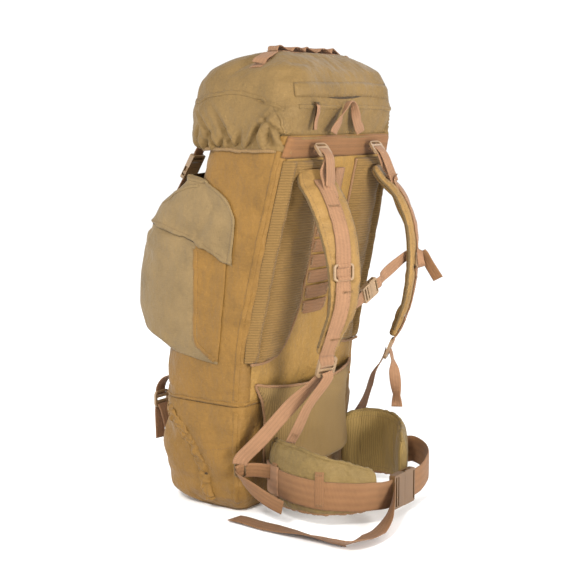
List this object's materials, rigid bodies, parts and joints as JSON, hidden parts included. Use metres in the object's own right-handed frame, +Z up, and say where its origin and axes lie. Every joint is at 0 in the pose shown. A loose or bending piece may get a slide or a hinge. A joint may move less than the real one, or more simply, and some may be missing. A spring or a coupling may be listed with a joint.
{
  "type": "hunting backpack",
  "caption": "Tall internal-frame hunting backpack with floating lid, wrap-round front pocket, padded shoulder straps, sternum strap and buckled hip belt.",
  "frame": {"origin": "on the floor, on the flat reinforced base and on the pack's mid-plane", "axes": "+Z up, +Y towards the wearer's back, where the harness is, +X the wearer's right"},
  "size_m": [0.419, 0.507, 0.783],
  "materials": {
    "side_fabric": "tightly woven coated nylon",
    "pocket_fabric": "tightly woven coated nylon, paler",
    "lid_fabric": "tightly woven coated nylon",
    "collar_fabric": "thin ripstop nylon",
    "mesh": "ribbed spacer mesh",
    "pad_fabric": "woven nylon over foam",
    "webbing": "ribbed nylon webbing",
    "buckle_plastic": "moulded acetal, satin",
    "zip_tape": "coil zip on woven tape",
    "slider_metal": "painted die-cast slider",
    "brass": "dull brass",
    "sheet_plastic": "polyethylene sheet",
    "aluminium": "extruded flat bar",
    "foam": "closed-cell foam"
  },
  "bodies": {
    "pack": {"main_bag": "side_fabric", "bottom_compartment": "side_fabric", "base_panel": "side_fabric", "compartment_divider": "side_fabric", "snow_collar": "collar_fabric", "collar_eyelets": "brass", "frame_sheet": "sheet_plastic", "frame_stays": "aluminium", "back_foam": "foam", "side_mesh_pad_right": "mesh", "side_mesh_pad_left": "mesh", "torso_ladder": "webbing", "yoke_strip": "webbing", "lumbar_pad": "mesh", "top_band": "webbing", "front_pocket": "pocket_fabric", "pocket_flap": "pocket_fabric", "flap_lip": "pocket_fabric", "pocket_zip": "zip_tape", "bottom_zip": "zip_tape", "bottom_zip_flap": "pocket_fabric", "lid_sockets": "buckle_plastic", "socket_webbings": "webbing", "compression_straps": "webbing", "compression_buckles": "buckle_plastic", "lifter_buckles": "buckle_plastic", "lifter_webbings": "webbing", "corner_rings": "buckle_plastic", "lower_webbing_right": "webbing", "lower_webbing_left": "webbing", "belt_stabilisers": "webbing"},
    "lid": {"lid_shell": "lid_fabric", "lid_hem": "lid_fabric", "lid_zip": "zip_tape", "lid_zip_flap": "lid_fabric", "daisy_chain": "webbing", "lid_straps": "webbing", "lid_plugs": "buckle_plastic"},
    "lid_slider": {"lid_zip_slider": "slider_metal"},
    "haul_loop": {"haul_loop": "webbing"},
    "pocket_slider": {"pocket_zip_slider": "slider_metal"},
    "bottom_slider": {"bottom_zip_slider": "slider_metal"},
    "harness": {"shoulder_pad_right": "pad_fabric", "shoulder_pad_left": "pad_fabric", "strap_webbing_right": "webbing", "strap_webbing_left": "webbing", "strap_rings": "buckle_plastic", "sternum_right": "webbing", "sternum_left": "webbing", "sternum_plug": "buckle_plastic", "sternum_socket": "buckle_plastic"},
    "lock_right": {"ladder_lock_right": "buckle_plastic"},
    "lock_left": {"ladder_lock_left": "buckle_plastic"},
    "belt_right": {"belt_wing_right": "pad_fabric", "belt_webbing_right": "webbing", "belt_plug": "buckle_plastic", "belt_tail": "webbing"},
    "belt_left": {"belt_wing_left": "pad_fabric", "belt_webbing_left": "webbing", "belt_socket": "buckle_plastic"}
  },
  "joints": [
    {"name": "lid_open", "type": "hinge", "parent": "pack", "child": "lid", "pos_m": [0, 0.14, 0.642], "axis": [-1, 0, 0], "range_deg": [0, 75]},
    {"name": "haul_loop_swing", "type": "hinge", "parent": "pack", "child": "haul_loop", "pos_m": [0, 0.14, 0.642], "axis": [-1, 0, 0], "range_deg": [0, 75]},
    {"name": "shoulder_swing", "type": "hinge", "parent": "pack", "child": "harness", "pos_m": [0, 0.128, 0.59], "axis": [1, 0, 0], "range_deg": [0, 25], "deforming": ["lower_webbing_right", "lower_webbing_left", "lifter_webbings"]},
    {"name": "lock_tilt_right", "type": "hinge", "parent": "harness", "child": "lock_right", "pos_m": [0.1041, 0.17529, 0.2795], "axis": [0.9272, -0.3746, 0], "range_deg": [0, 30]},
    {"name": "lock_tilt_left", "type": "hinge", "parent": "harness", "child": "lock_left", "pos_m": [-0.1041, 0.17529, 0.2795], "axis": [0.9272, 0.3746, 0], "range_deg": [0, 30]},
    {"name": "belt_right_open", "type": "hinge", "parent": "pack", "child": "belt_right", "pos_m": [0.118, 0.078, 0.084], "axis": [0, 0, -1], "range_deg": [0, 45], "deforming": ["belt_stabilisers", "belt_tail"]},
    {"name": "belt_left_open", "type": "hinge", "parent": "pack", "child": "belt_left", "pos_m": [-0.118, 0.078, 0.084], "axis": [0, 0, 1], "range_deg": [0, 45]},
    {"name": "lid_zip_pull", "type": "slide", "parent": "lid", "child": "lid_slider", "axis": [-1, 0, 0], "range_m": [0, 0.19]},
    {"name": "pocket_zip_pull", "type": "slide", "parent": "pack", "child": "pocket_slider", "axis": [-1, 0, 0], "range_m": [0, 0.12]},
    {"name": "bottom_zip_pull", "type": "slide", "parent": "pack", "child": "bottom_slider", "axis": [-1, 0, 0], "range_m": [0, 0.12]}
  ],
  "couplings": [
    {"joint": "haul_loop_swing", "follows": "lid_open", "ratio": 1},
    {"joint": "belt_left_open", "follows": "belt_right_open", "ratio": 1}
  ]
}
